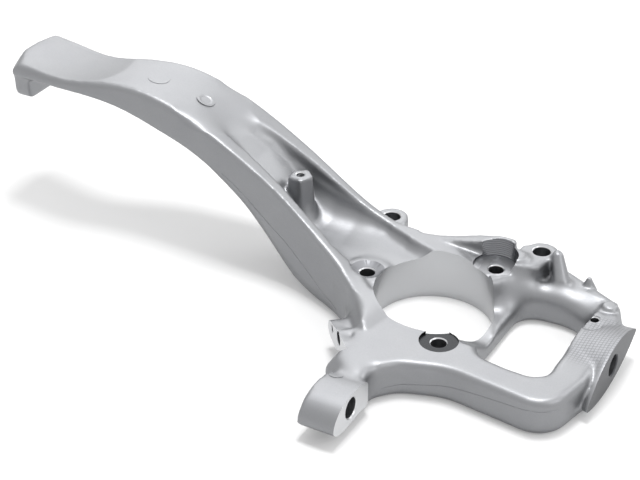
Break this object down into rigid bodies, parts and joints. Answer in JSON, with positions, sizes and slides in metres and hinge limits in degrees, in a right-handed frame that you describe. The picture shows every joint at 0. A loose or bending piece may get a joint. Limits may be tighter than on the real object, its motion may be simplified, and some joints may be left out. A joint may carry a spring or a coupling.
{
  "type": "steering knuckle",
  "caption": "Forged aluminium front steering knuckle with a long swan-neck upper arm, hub bore, bolted hub seat, caliper ears, tie-rod lever and lower ball-joint frame.",
  "frame": {"origin": "centre of the hub bore on the flat wheel-side face, which the part rests on", "axes": "+Z along the hub axis, away from the wheel; +X towards the lower ball joint; -X towards the upper ball joint; -Y towards the tie rod"},
  "size_m": [0.5722, 0.2732, 0.1416],
  "materials": {
    "forged_aluminium": "shot-blasted forging skin, satin, with bright machined faces, bores and spotfaces"
  },
  "bodies": {
    "root": {"steering_knuckle": "forged_aluminium"}
  },
  "joints": []
}
